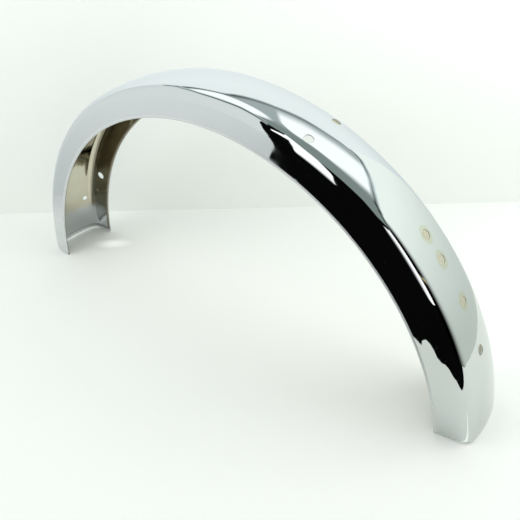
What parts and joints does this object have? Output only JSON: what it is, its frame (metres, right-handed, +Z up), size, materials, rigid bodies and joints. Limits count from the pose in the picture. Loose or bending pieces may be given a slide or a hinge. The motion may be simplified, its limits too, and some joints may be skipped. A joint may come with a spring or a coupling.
{
  "type": "moped rear mudguard",
  "caption": "Arched sheet-steel rear mudguard with a U-shaped section, rolled edges and holes for bolts, bright chrome outside and dull nickel inside.",
  "frame": {"origin": "on the floor under the middle of the arch, as it stands on its two ends", "axes": "+X along the moped towards the tail end, +Y across it, +Z up"},
  "size_m": [0.5978, 0.0756, 0.2792],
  "materials": {
    "chrome": "bright decorative chrome over nickel, dull and nickel-coloured inside"
  },
  "bodies": {
    "root": {"mudguard": "chrome"}
  },
  "joints": []
}
